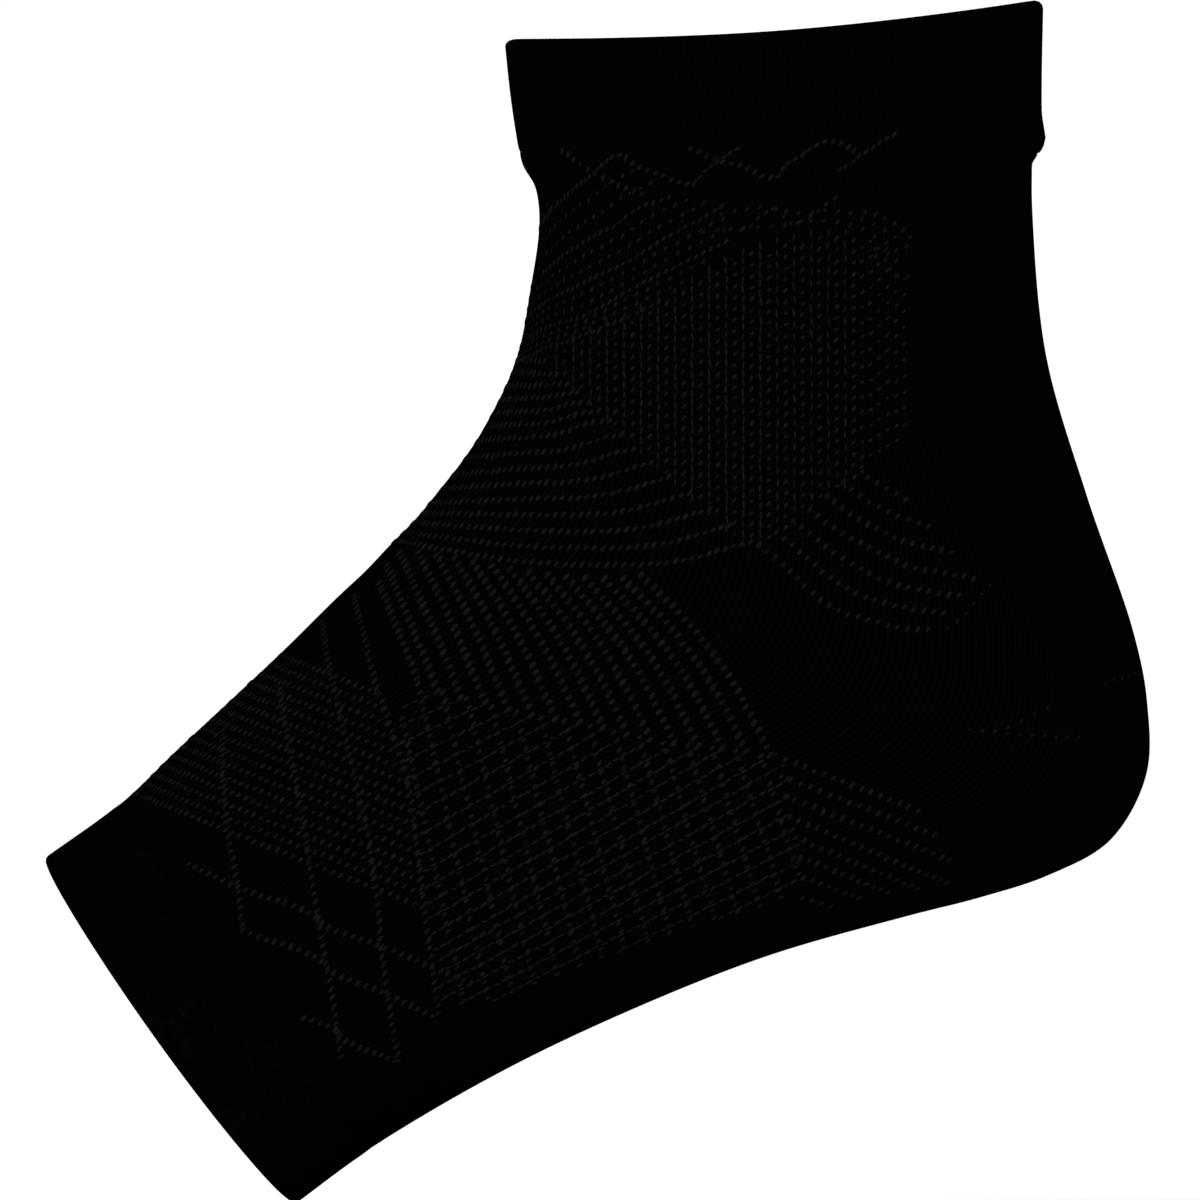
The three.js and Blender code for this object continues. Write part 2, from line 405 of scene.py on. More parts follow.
def evenly(line, step):
    """The line's points about a step apart."""
    line, run = drawn(line)
    count = max(int(round(run[-1] / step)), 2)
    return points_at(line, run, np.linspace(0, run[-1], count + 1))


def share_points(line, count=FAMILY_POINTS):
    """A number of points at equal distances along the line."""
    line, run = drawn(line)
    return points_at(line, run, np.linspace(0, run[-1], count))


def family(keys, count):
    """Lines between charted lines. keys maps a line's number to its charted points."""
    numbers = sorted(keys)
    known = np.stack([share_points(keys[n]) for n in numbers])
    lines = []
    for n in range(count):
        k = min(max(np.searchsorted(numbers, n, side="right") - 1, 0), len(numbers) - 2)
        part = (n - numbers[k]) / (numbers[k + 1] - numbers[k])
        lines.append(known[k] * (1 - part) + known[k + 1] * part)
    return lines


def inside(points, outline):
    """Which points lie inside a closed outline."""
    x, z = points[:, 0], points[:, 1]
    within = np.zeros(len(points), bool)
    for (x0, z0), (x1, z1) in zip(outline, outline[1:] + outline[:1]):
        crosses = (z0 > z) != (z1 > z)
        at = x0 + (z - z0) * (x1 - x0) / (z1 - z0 if z1 != z0 else 1)
        within ^= crosses & (x < at)
    return within


CLIP_STEP = 0.5
SHORTEST_RUN = 4


def clipped(lines, outline):
    """The longest run of each line inside an outline."""
    kept = []
    for line in lines:
        points = evenly(line, CLIP_STEP)
        runs, start = [], None
        flags = list(inside(points, outline)) + [False]
        for i, flag in enumerate(flags):
            if flag and start is None:
                start = i
            if not flag and start is not None:
                runs.append((start, i))
                start = None
        if runs:
            first, last = max(runs, key=lambda r: r[1] - r[0])
            if last - first > SHORTEST_RUN:
                kept.append(points[first:last])
    return kept


def ray(start, degrees, length):
    """A straight line from a point, at an angle above +X in the side view."""
    angle = math.radians(degrees)
    return [start, (start[0] + length * math.cos(angle), start[1] + length * math.sin(angle))]


def height_of(line, x):
    """The height of a charted line at X."""
    line = sorted(line)
    return float(np.interp(x, [p[0] for p in line], [p[1] for p in line]))


# %% Chart: the zigzag border and the slanting lines under the cuff
ZIGZAG = [
    [(-91.0, 109.0), (-87.7, 113.2), (-85.4, 115.7), (-78.8, 120.9), (-75.4, 123.5), (-73.5, 123.9),
     (-71.2, 121.8), (-67.9, 120.4), (-64.2, 118.8), (-61.8, 118.8), (-59.7, 120.9), (-57.2, 123.0),
     (-54.2, 124.9)],
    [(-83.5, 124.9), (-80.3, 122.3), (-78.8, 120.9), (-75.9, 119.0), (-70.7, 117.2)],
    [(-62.1, 124.9), (-58.6, 123.4), (-56.3, 122.5), (-53.5, 121.8), (-49.9, 119.9), (-47.1, 119.9),
     (-45.8, 122.0), (-43.6, 123.4), (-39.5, 126.0), (-37.4, 126.0), (-34.3, 124.6)],
    [(-36.8, 120.9), (-35.0, 122.0), (-32.7, 124.1), (-30.4, 125.8), (-27.8, 127.4)],
]
SLANTS = [
    [(-91.5, 101.0), (-88.5, 103.2), (-84.0, 106.8), (-78.0, 110.4), (-75.4, 111.6), (-71.9, 114.3),
     (-66.1, 116.4)],
    [(-92.0, 95.0), (-88.0, 98.2), (-80.8, 101.8), (-72.3, 105.9), (-67.2, 109.2), (-62.1, 111.8),
     (-57.0, 114.8)],
    [(-93.0, 91.0), (-87.3, 94.1), (-80.5, 96.1), (-76.3, 98.5), (-66.7, 103.6), (-56.2, 108.7)],
    [(-94.0, 87.6), (-87.3, 90.6), (-83.3, 91.7), (-77.5, 94.0), (-72.4, 96.1), (-67.9, 98.2)],
]
PANEL_EDGE = [
    [(-53.5, 110.8), (-52.0, 111.3), (-49.9, 113.4), (-47.6, 114.3), (-44.8, 111.8), (-42.9, 112.3),
     (-37.4, 116.2)],
    [(-32.2, 113.9), (-28.7, 112.7), (-25.7, 110.9), (-24.3, 109.0), (-25.5, 107.6), (-30.4, 107.6)],
    [(-30.4, 106.2), (-28.7, 105.7), (-27.1, 103.1), (-24.6, 102.7)],
]

# %% Chart: the ankle panel
PANEL_TOP = [(-85.6, 90.5), (-78.6, 94.0), (-71.0, 97.1), (-65.6, 99.8), (-59.7, 103.6), (-53.5, 106.9),
             (-47.6, 108.8), (-41.8, 110.1), (-35.9, 110.4), (-29.0, 109.0), (-24.5, 104.0)]
PANEL_FOOT = [(-85.6, 85.8), (-78.6, 80.0), (-71.0, 72.8), (-65.6, 67.7), (-59.7, 62.3), (-53.5, 56.7),
              (-50.6, 56.3), (-47.6, 58.3), (-44.6, 60.0), (-41.8, 62.3), (-35.9, 66.3), (-29.9, 70.9),
              (-24.5, 76.0)]
UPRIGHT_PITCH = 2.94
UPRIGHTS = 21
SOLID_UPRIGHTS, BROKEN_UPRIGHTS = 13, 18
DOT_PITCH = 1.95
DOT_RISE = math.tan(math.radians(30))
DOT_START = 0.6
PANEL_HEAD = [
    [(-57.0, 113.6), (-50.0, 114.6), (-44.0, 113.6), (-38.0, 114.2), (-32.0, 112.6), (-27.0, 109.4)],
    [(-60.0, 110.4), (-53.0, 111.2), (-46.0, 111.6), (-40.0, 112.4), (-34.0, 111.4), (-28.5, 108.6)],
]


def dotted_upright(x):
    """An upright whose dots line up with its neighbours' on slanting lines."""
    phase = x * DOT_RISE
    top = phase + math.floor((height_of(PANEL_TOP, x) - DOT_START - phase) / DOT_PITCH) * DOT_PITCH
    count = int((top - height_of(PANEL_FOOT, x)) / DOT_PITCH)
    return [(x, top), (x, top - max(count, 1) * DOT_PITCH)]


uprights, broken_uprights, upright_dots, last_dots = [], [], [], []
for i in range(UPRIGHTS):
    x = PANEL_TOP[0][0] + i * UPRIGHT_PITCH
    whole = [(x, height_of(PANEL_TOP, x)), (x, height_of(PANEL_FOOT, x))]
    if i < SOLID_UPRIGHTS:
        uprights.append(whole)
    elif i < BROKEN_UPRIGHTS:
        broken_uprights.append(whole)
    else:
        last_dots.append(dotted_upright(x))
    between = upright_dots if i < BROKEN_UPRIGHTS else last_dots
    between.append(dotted_upright(x + UPRIGHT_PITCH / 2))

# %% Chart: the fans round the heel and over the instep
UPPER_FAN = {
    0: [(-95.0, 86.4), (-92.0, 86.4), (-85.6, 85.8)],
    5: [(-102.5, 74.4), (-95.5, 74.7), (-92.0, 74.9), (-85.9, 75.4), (-80.5, 77.2), (-76.3, 77.9)],
    7: [(-107.0, 68.6), (-99.0, 68.9), (-92.0, 69.5), (-81.4, 70.3), (-74.9, 72.3), (-72.3, 72.8)],
    9: [(-112.0, 63.4), (-106.0, 63.7), (-92.0, 64.2), (-80.0, 64.6), (-73.3, 65.8), (-66.1, 68.1)],
    13: [(-119.0, 58.4), (-113.0, 57.0), (-106.2, 55.6), (-97.8, 54.2), (-88.9, 53.2), (-79.8, 52.8),
         (-72.3, 52.8), (-64.0, 53.5), (-56.3, 55.6), (-52.1, 56.7)],
}
UPPER_FAN_ROWS = 14
UPPER_FAN_TOP = [(-94.5, 88.9), (-91.0, 88.5), (-87.6, 88.3)]
HEEL_FAN = {
    0: [(-50.6, 56.3), (-46.0, 52.5), (-42.0, 48.5), (-37.3, 45.1), (-31.3, 43.2), (-25.9, 41.8),
        (-21.2, 41.5)],
    3: [(-41.8, 62.3), (-36.9, 58.8), (-30.4, 55.3), (-23.8, 52.3), (-17.7, 51.3), (-13.3, 50.4)],
    6: [(-32.9, 69.6), (-31.3, 67.5), (-29.4, 66.5), (-25.2, 64.0)],
}
HEEL_FAN_ROWS = 7
HEEL_FAN_END = [(-17.9, 41.8), (-15.2, 43.8), (-12.4, 47.2), (-10.5, 49.2)]
STRIPE_TOPS = [(-116.5, 49.7), (-114.1, 54.3), (-110.9, 55.0), (-105.5, 54.4), (-98.5, 53.0),
               (-91.0, 51.6), (-82.6, 50.6), (-75.1, 50.4), (-70.9, 51.1)]
STRIPE_FEET = [(-109.7, 33.1), (-106.2, 31.0), (-98.5, 29.0), (-90.3, 26.9), (-81.2, 25.5),
               (-73.0, 23.4), (-64.0, 21.7), (-56.0, 21.0), (-48.6, 19.9)]
STRIPES = 16
STRIPE_BULGE = 2.2
STRIPE_POINTS = 9
LOWER_HEEL_STARTS = [(-47.6, 19.8), (-46.2, 13.5), (-44.6, 6.4), (-43.0, 0.2), (-43.0, -5.0)]
LOWER_HEEL_ENDS = [(-23.0, 10.2), (-18.0, 2.8), (-16.5, -1.6), (-30.5, -4.4), (-38.0, -6.4)]
LOWER_HEEL_ROWS = 8

lower_heel_fan = np.stack(
    [share_points(LOWER_HEEL_STARTS, LOWER_HEEL_ROWS), share_points(LOWER_HEEL_ENDS, LOWER_HEEL_ROWS)], 1
)
stripes = []
tops, feet = share_points(STRIPE_TOPS, STRIPES), share_points(STRIPE_FEET, STRIPES)
for i in range(STRIPES):
    line = np.linspace(tops[i], feet[i], STRIPE_POINTS)
    across = np.array([tops[i][1] - feet[i][1], feet[i][0] - tops[i][0]])
    across = across / np.linalg.norm(across)
    bulge = STRIPE_BULGE * i / (STRIPES - 1) * np.sin(np.linspace(0, math.pi, STRIPE_POINTS))
    stripes.append(line + bulge[:, None] * across)

# %% Chart: the panel on the foot
FOOT_PANEL = [
    (-111.6, 33.2), (-112.7, 22.8), (-110.3, 14.7), (-108.9, 4.0), (-107.4, -8.0), (-106.3, -16.1),
    (-105.0, -22.5), (-101.3, -22.9), (-95.0, -22.2), (-86.8, -18.7), (-77.9, -15.2), (-68.1, -11.9),
    (-57.7, -8.4), (-47.4, -5.6), (-43.2, -0.7), (-43.2, 2.6), (-44.6, 6.5), (-46.0, 11.0),
    (-45.3, 14.5), (-46.7, 19.2), (-48.6, 19.9), (-56.0, 21.0), (-64.0, 21.7), (-73.0, 23.4),
    (-81.2, 25.5), (-90.3, 26.9), (-98.5, 29.0), (-106.2, 31.0),
]
PANEL_SLOPE_LEFT, PANEL_SLOPE_RIGHT = 202, 210
PANEL_PITCH = 3.1
TURNING_LINES = 8
LINES_BELOW, LINES_BELOW_START, LINES_BELOW_RISE, SLOPE_STEP = 10, -40.0, 5.0, 0.5
COLUMNS, COLUMN_START, COLUMN_PITCH, COLUMN_TOP = 24, -117.9, 3.95, 34.0
COLUMN_LEAN_LEFT, COLUMN_LEAN_RIGHT = -78, -70
LINE_REACH, COLUMN_REACH = 75, 70
FOOT_GAP = 0.2, 0.3

# A line of the panel starts at the foot of each stripe, and a few more start below the last of them.
foot_lines = []
for i in range(STRIPES):
    slope = PANEL_SLOPE_LEFT + (PANEL_SLOPE_RIGHT - PANEL_SLOPE_LEFT) * min(i / TURNING_LINES, 1)
    start = (feet[i][0] - FOOT_GAP[0], feet[i][1] - FOOT_GAP[1])
    foot_lines.append(ray(start, slope, LINE_REACH))
for i in range(1, LINES_BELOW):
    slope = PANEL_SLOPE_RIGHT - SLOPE_STEP * i
    level = feet[-1][1] - i * PANEL_PITCH + LINES_BELOW_RISE
    foot_lines.append(ray((LINES_BELOW_START, level), slope, LINE_REACH))
foot_lines = clipped(foot_lines, FOOT_PANEL)
foot_columns = []
for i in range(COLUMNS):
    x = COLUMN_START + COLUMN_PITCH * i
    lean = COLUMN_LEAN_LEFT + (COLUMN_LEAN_RIGHT - COLUMN_LEAN_LEFT) * i / (COLUMNS - 1)
    foot_columns.append(ray((x, COLUMN_TOP), lean, COLUMN_REACH))
foot_columns = clipped(foot_columns, FOOT_PANEL)

# %% Chart: the rows and the lattice on the forefoot
FOREFOOT = [
    (-134.5, 39.5), (-117.1, 32.7), (-113.7, 22.8), (-111.1, 14.7), (-109.7, 4.0), (-108.1, -8.0),
    (-107.1, -16.1), (-116.4, -12.8), (-125.8, -9.4), (-139.3, -3.5), (-149.3, 0.9), (-155.2, 8.6),
    (-158.6, 12.1),
]
FOREFOOT_START, FOREFOOT_END = (-134.5, 37.4), (-158.6, 12.9)
FOREFOOT_ROWS = 16
FOREFOOT_SLOPE, FOREFOOT_REACH = -21, 60
rows_start = np.linspace(FOREFOOT_START, FOREFOOT_END, FOREFOOT_ROWS)
forefoot_rows = clipped([ray(tuple(p), FOREFOOT_SLOPE, FOREFOOT_REACH) for p in rows_start], FOREFOOT)
STEEP = [
    [(-143.8, 24.0), (-143.5, 17.3), (-142.6, 7.3), (-141.2, 0.0), (-139.8, -9.4)],
    [(-133.9, 32.0), (-132.5, 24.0), (-129.8, 10.7), (-128.1, 0.0), (-126.5, -9.4), (-124.8, -18.9),
     (-122.8, -32.2)],
    [(-125.1, 35.3), (-123.2, 27.5), (-120.4, 15.9), (-117.8, 4.0), (-116.4, -6.1), (-115.5, -16.1),
     (-113.0, -32.9)],
    [(-117.1, 32.7), (-113.7, 22.8), (-111.1, 14.7), (-109.7, 4.0), (-108.1, -8.0), (-107.1, -16.1),
     (-106.0, -24.8)],
    [(-126.5, 42.9), (-125.1, 35.3)],
    [(-121.1, 48.1), (-119.2, 41.0), (-117.1, 32.7)],
]
LATTICE = [
    [(-149.3, 0.9), (-143.1, -1.8), (-139.3, -3.5), (-127.7, -7.5), (-125.8, -9.4), (-116.4, -12.8),
     (-100.4, -19.4)],
    [(-139.8, -10.5), (-126.5, -15.4), (-124.4, -17.5), (-114.4, -21.5), (-107.1, -25.2)],
    [(-129.2, -25.5), (-123.7, -27.5), (-122.5, -29.2), (-113.7, -32.9)],
]
GORE = [
    [(-14.0, 24.3), (-5.0, 23.4), (5.1, 22.8)],
    [(-7.3, 24.6), (-0.4, 28.0)],
    [(9.8, 32.4), (15.8, 34.0)],
]

# Two faint rows lie between each slanting line and the next.
hatch_rows = []
for upper, lower in zip([ZIGZAG[0][:5], *SLANTS[:3]], SLANTS):
    hatch_rows += family({0: upper, 3: lower}, 4)[1:3]
panels = (uprights, broken_uprights, upright_dots, last_dots, stripes, foot_lines, foot_columns)
print("lines in the panels:", sum(len(lines) for lines in panels))

# %% [markdown]
# ## Carry the guide lines onto the cloth
# A charted line is flat, and a projection along Y would miss the places where the cloth turns away. So a
# charted point is first turned into a turn and a row: it lies on the section line that passes through it,
# between the front point and the back point of a row. Where a line reaches the front of the leg or foot,
# it goes on over the instep to meet its mirror image.

# %% From the side view to turn and row
GRID_ROWS = np.linspace(0, TOE_ROW, 1361)
GRID_FRONT = catmull_rom(FRONT, GRID_ROWS / TOE_ROW)
GRID_BACK = catmull_rom(BACK, GRID_ROWS / TOE_ROW)
GRID_TURNS = np.linspace(0, math.pi, 721)
GRID_DEPTHS = -np.cos(GRID_TURNS) * swell_of(GRID_TURNS)
FRONT_EDGE = -0.985


def turn_and_row(points):
    """Turn and row of side-view points, without the points that lie off the sleeve."""
    place = np.asarray(points) + SEAT[[0, 2]]
    middle, half = (GRID_FRONT + GRID_BACK) / 2, (GRID_BACK - GRID_FRONT) / 2
    off = place[:, None, :] - middle
    across = off[..., 0] * half[:, 1] - off[..., 1] * half[:, 0]
    share = np.sum(off * half, -1) / np.sum(half * half, -1)
    hit = (across[:, :-1] * across[:, 1:] <= 0) & (np.abs(share[:, :-1]) < 1)
    first = np.argmax(hit, axis=1)
    each = np.arange(len(place))
    a, b = across[each, first], across[each, first + 1]
    part = a / np.where(a == b, 1, a - b)
    row = GRID_ROWS[first] + part * (GRID_ROWS[1] - GRID_ROWS[0])
    depth = share[each, first] * (1 - part) + share[each, first + 1] * part
    kept = hit.any(axis=1) & (depth > FRONT_EDGE)
    return np.interp(depth[kept], GRID_DEPTHS, GRID_TURNS), row[kept]


# A line that is led on over the front: how near it starts, where it ends, its step and its greatest lean.
OVER_NEAR, OVER_END, OVER_STEP, OVER_LEAN = 0.9, 0.012, 0.02, 0.8
OVER_LOOK_BACK, OVER_LEAST_TURN = 6, 0.05


def over_instep(turn, row):
    """The same line, led on from its first point to the middle of the front."""
    back = min(OVER_LOOK_BACK, len(turn) - 1)
    slope = (row[back] - row[0]) / max(turn[back] - turn[0], OVER_LEAST_TURN)
    added = np.linspace(OVER_END, turn[0], max(int(turn[0] / OVER_STEP), 2))[:-1]
    lean = np.clip(slope, -OVER_LEAN, OVER_LEAN)
    ease = (turn[0] ** 2 - added**2) / (2 * turn[0])
    return np.concatenate([added, turn]), np.concatenate([row[0] - lean * ease, row])


# How stitches lie on a line: spacing, lean above level or None for along the line, and a loop's length,
# width and height, in millimetres and degrees.
STYLES = {
    "line": (1.6, None, 1.55, 0.46, 0.36),
    "broken": (2.1, None, 1.45, 0.42, 0.34),
    "stroke": (1.45, 48, 1.4, 0.66, 0.44),
    "steep": (1.5, 50, 1.45, 0.6, 0.44),
    "fan": (1.5, 44, 1.35, 0.68, 0.44),
    "loose": (1.75, 50, 1.3, 0.68, 0.42),
    "dot": (1.95, 48, 1.1, 0.56, 0.38),
    "sparse": (2.6, 40, 0.95, 0.5, 0.3),
    "column": (1.62, 46, 1.3, 0.66, 0.4),
    "faint": (2.1, 40, 0.9, 0.42, 0.3),
    "hatch": (2.2, 48, 1.0, 0.52, 0.34),
}
STITCH_LIFT = 0.04
# The stitches lie flatter where the cloth is drawn tight over the front.
FLAT_TURNS, FLAT_SHARES = (0.1, 0.6), (0.4, 1.0)
FRONT_SINK = 0.1
GUIDE_STEP = 0.6


def cloth_lines(lines, style, over=False, size=1.0):
    """Guide lines on both sides: places, outward directions, stitch directions, spacing and loop sizes."""
    spacing, lean, *loop = STYLES[style]
    made = []
    for line in lines:
        turn, row = turn_and_row(evenly(line, GUIDE_STEP))
        if len(turn) < 3:
            continue
        if over and turn[0] < OVER_NEAR:
            turn, row = over_instep(turn, row)
        on_cuff = ply_outer + cuff_swell(turn, row)
        lift = STITCH_LIFT + np.where(row < LIP_ROW, on_cuff, body_swell(turn, row))
        lift = lift - np.interp(turn, FLAT_TURNS, (FRONT_SINK, 0.0))
        place, normal = cloth_point(turn, row, lift), outward(turn, row)
        if lean is None:
            run = np.gradient(place, axis=0)
        else:
            angle = math.radians(lean)
            run = np.tile([math.cos(angle), 0.0, math.sin(angle)], (len(turn), 1))
        run = run - normal * np.sum(run * normal, -1, keepdims=True)
        run = run / np.linalg.norm(run, axis=-1, keepdims=True)
        loops = np.tile(np.array(loop) * size * MM, (len(turn), 1))
        loops[:, 2] *= np.interp(turn, FLAT_TURNS, FLAT_SHARES)
        for side in (-1, 1):
            flip = np.array([1, side, 1])
            made.append((place * flip * MM, normal * flip, run * flip, spacing * MM, loops))
    return made


# %% [markdown]
# ## Raised stitches by Geometry Nodes
# A raised stitch is a small loop of yarn that stands up from the cloth, and there are thousands of them.
# A small tree repeats one loop, with named inputs for its unevenness. The mesh lines become curves, each
# curve is resampled at its own spacing, and an oval loop of yarn sits on each point, pointing out of the
# cloth and leaning as charted.


# %% The stitch tree
def stitch_tree():
    """Guide lines go in, and loops of yarn come out."""
    tree = bpy.data.node_groups.new("stitches_on_lines", "GeometryNodeTree")
    tree.is_modifier = True
    face = tree.interface
    face.new_socket("Geometry", in_out="INPUT", socket_type="NodeSocketGeometry")
    face.new_socket("Unevenness", in_out="INPUT", socket_type="NodeSocketFloat").default_value = 0.14
    face.new_socket("Wobble", in_out="INPUT", socket_type="NodeSocketFloat").default_value = 0.2
    face.new_socket("Scatter", in_out="INPUT", socket_type="NodeSocketFloat").default_value = 0.0001
    face.new_socket("Seed", in_out="INPUT", socket_type="NodeSocketInt").default_value = 1
    face.new_socket("Material", in_out="INPUT", socket_type="NodeSocketMaterial")
    face.new_socket("Geometry", in_out="OUTPUT", socket_type="NodeSocketGeometry")

    def add(kind, **settings):
        node = tree.nodes.new(kind)
        for key, value in settings.items():
            setattr(node, key, value)
        return node

    def attribute(name, kind):
        node = add("GeometryNodeInputNamedAttribute", data_type=kind)
        node.inputs["Name"].default_value = name
        return node.outputs["Attribute"]

    def random_share(low, high):
        node = add("FunctionNodeRandomValue", data_type="FLOAT")
        links.new(low, node.inputs[2])
        links.new(high, node.inputs[3])
        links.new(enter.outputs["Seed"], node.inputs["Seed"])
        return node.outputs[1]

    def math_node(operation, a, b):
        node = add("ShaderNodeMath", operation=operation)
        for place, value in zip(node.inputs, (a, b)):
            if isinstance(value, (int, float)):
                place.default_value = value
            else:
                links.new(value, place)
        return node.outputs[0]

    links = tree.links
    enter, leave = add("NodeGroupInput"), add("NodeGroupOutput")
    curve = add("GeometryNodeMeshToCurve")
    resample = add("GeometryNodeResampleCurve", mode="LENGTH")
    links.new(enter.outputs["Geometry"], curve.inputs["Mesh"])
    links.new(curve.outputs["Curve"], resample.inputs["Curve"])
    links.new(attribute("spacing", "FLOAT"), resample.inputs["Length"])

    scatter = add("FunctionNodeRandomValue", data_type="FLOAT_VECTOR")
    links.new(math_node("MULTIPLY", enter.outputs["Scatter"], -1.0), scatter.inputs[0])
    links.new(enter.outputs["Scatter"], scatter.inputs[1])
    links.new(enter.outputs["Seed"], scatter.inputs["Seed"])
    scattered = add("GeometryNodeSetPosition")
    links.new(resample.outputs["Curve"], scattered.inputs["Geometry"])
    links.new(scatter.outputs[0], scattered.inputs["Offset"])

    aim = add("FunctionNodeAxesToRotation", primary_axis="Z", secondary_axis="X")
    links.new(attribute("cloth_out", "FLOAT_VECTOR"), aim.inputs["Primary Axis"])
    links.new(attribute("stitch_run", "FLOAT_VECTOR"), aim.inputs["Secondary Axis"])
    lean = add("FunctionNodeAxisAngleToRotation")
    lean.inputs["Axis"].default_value = (0.0, 0.0, 1.0)
    leftward = math_node("MULTIPLY", enter.outputs["Wobble"], -1.0)
    links.new(random_share(leftward, enter.outputs["Wobble"]), lean.inputs["Angle"])
    turned = add("FunctionNodeRotateRotation", rotation_space="LOCAL")
    links.new(aim.outputs["Rotation"], turned.inputs["Rotation"])
    links.new(lean.outputs["Rotation"], turned.inputs["Rotate By"])

    low = math_node("SUBTRACT", 1.0, enter.outputs["Unevenness"])
    high = math_node("ADD", 1.0, enter.outputs["Unevenness"])
    scale = add("ShaderNodeVectorMath", operation="SCALE")
    links.new(attribute("loop_size", "FLOAT_VECTOR"), scale.inputs[0])
    links.new(random_share(low, high), scale.inputs["Scale"])

    loop = add("GeometryNodeMeshIcoSphere")
    loop.inputs["Radius"].default_value = 0.5
    loop.inputs["Subdivisions"].default_value = 2
    place_on = add("GeometryNodeInstanceOnPoints")
    links.new(scattered.outputs["Geometry"], place_on.inputs["Points"])
    links.new(loop.outputs["Mesh"], place_on.inputs["Instance"])
    links.new(turned.outputs["Rotation"], place_on.inputs["Rotation"])
    links.new(scale.outputs["Vector"], place_on.inputs["Scale"])

    smooth = add("GeometryNodeSetShadeSmooth")
    real = add("GeometryNodeRealizeInstances")
    dress = add("GeometryNodeSetMaterial")
    links.new(place_on.outputs["Instances"], real.inputs["Geometry"])
    links.new(real.outputs["Geometry"], smooth.inputs["Geometry"])
    links.new(smooth.outputs["Geometry"], dress.inputs["Geometry"])
    links.new(enter.outputs["Material"], dress.inputs["Material"])
    links.new(dress.outputs["Geometry"], leave.inputs["Geometry"])
    return tree


TREE = stitch_tree()
SOCKETS = {item.name: item.identifier for item in TREE.interface.items_tree if item.in_out == "INPUT"}


def stitched(name, lines, material, seed):
    """A plain mesh of raised stitches along guide lines."""
    places = np.concatenate([line[0] for line in lines])
    starts = np.cumsum([0] + [len(line[0]) for line in lines])
    edges = [(i, i + 1) for a, b in zip(starts, starts[1:]) for i in range(a, b - 1)]
    guide = bpy.data.meshes.new(name + "_guides")
    guide.from_pydata(places.tolist(), edges, [])
    for key, kind, values in (
        ("cloth_out", "FLOAT_VECTOR", np.concatenate([line[1] for line in lines])),
        ("stitch_run", "FLOAT_VECTOR", np.concatenate([line[2] for line in lines])),
        ("spacing", "FLOAT", np.concatenate([np.full(len(line[0]), line[3]) for line in lines])),
        ("loop_size", "FLOAT_VECTOR", np.concatenate([line[4] for line in lines])),
    ):
        layer = guide.attributes.new(key, kind, "POINT")
        layer.data.foreach_set("vector" if kind == "FLOAT_VECTOR" else "value", values.reshape(-1))
    holder = bpy.data.objects.new(name + "_guides", guide)
    bpy.context.scene.collection.objects.link(holder)
    modifier = holder.modifiers.new("stitches", "NODES")
    modifier.node_group = TREE
    modifier[SOCKETS["Seed"]] = seed
    modifier[SOCKETS["Material"]] = material
    depsgraph = bpy.context.evaluated_depsgraph_get()
    mesh = bpy.data.meshes.new_from_object(holder.evaluated_get(depsgraph), depsgraph=depsgraph)
    mesh.name = name
    made = bpy.data.objects.new(name, mesh)
    bpy.context.scene.collection.objects.link(made)
    bpy.data.objects.remove(holder)
    print(name, len(mesh.polygons), "triangles")
    return made


# %% [markdown]
# ## Materials
# The yarn is near black. The cloth's material knits its own fine V stitches from the wale and course
# numbers in the UV map: two leaning yarn legs a wale, one pair a course. Modelled, they would be far too
# many triangles. The gaps between the yarns are painted darker, as painted shade. The raised stitches are
# a shade lighter.


# %% A small class for shader maths
class Wire:
    """An output in a node tree. Sums and products of wires and numbers add Math nodes."""

    def __init__(self, tree, socket):
        self.tree = tree
        self.socket = socket

    def node(self, kind, settings=(), **values):
        """Any other node: its settings first, then its inputs by name with underscores for spaces."""
        made = self.tree.nodes.new(kind)
        for key, value in dict(settings).items():
            setattr(made, key, value)
        for key, value in values.items():
            plug(self.tree, value, made.inputs[key.replace("_", " ")])
        return made

    def maths(self, operation, *values):
        made = self.tree.nodes.new("ShaderNodeMath")
        made.operation = operation
        for place, value in zip(made.inputs, values):
            plug(self.tree, value, place)
        return Wire(self.tree, made.outputs[0])

    def __add__(self, other):
        return self.maths("ADD", self, other)

    __radd__ = __add__

    def __mul__(self, other):
        return self.maths("MULTIPLY", self, other)

    __rmul__ = __mul__

    def __sub__(self, other):
        return self.maths("SUBTRACT", self, other)

    def __rsub__(self, other):
        return self.maths("SUBTRACT", other, self)

    def __pow__(self, other):
        return self.maths("POWER", self, other)

    def __abs__(self):
        return self.maths("ABSOLUTE", self)

    def part(self):
        return self.maths("FRACT", self)

    def sine(self):
        return self.maths("SINE", self)

    def at_least(self, other):
        return self.maths("MAXIMUM", self, other)

    def at_most(self, other):
        return self.maths("MINIMUM", self, other)


def plug(tree, value, place):
    """Link a wire or a socket to a node's input, or set the input to a plain value."""
    if isinstance(value, Wire):
        tree.links.new(value.socket, place)
    elif isinstance(value, bpy.types.NodeSocket):
        tree.links.new(value, place)
    else:
        place.default_value = value


def new_material(name, roughness):
    """A matt material, its tree, its shader and a wire with the place on the piece."""
    material = bpy.data.materials.new(name)
    material.use_nodes = True
    tree = material.node_tree
    shader = next(node for node in tree.nodes if node.type == "BSDF_PRINCIPLED")
    shader.inputs["Roughness"].default_value = roughness
    shader.inputs["Specular IOR Level"].default_value = 0.0
    place = tree.nodes.new("ShaderNodeTexCoord")
    return material, tree, shader, Wire(tree, place.outputs["Object"])


def noise(place, scale, detail=2.0):
    made = place.node("ShaderNodeTexNoise", Vector=place, Scale=scale, Detail=detail)
    return Wire(place.tree, made.outputs["Fac"])


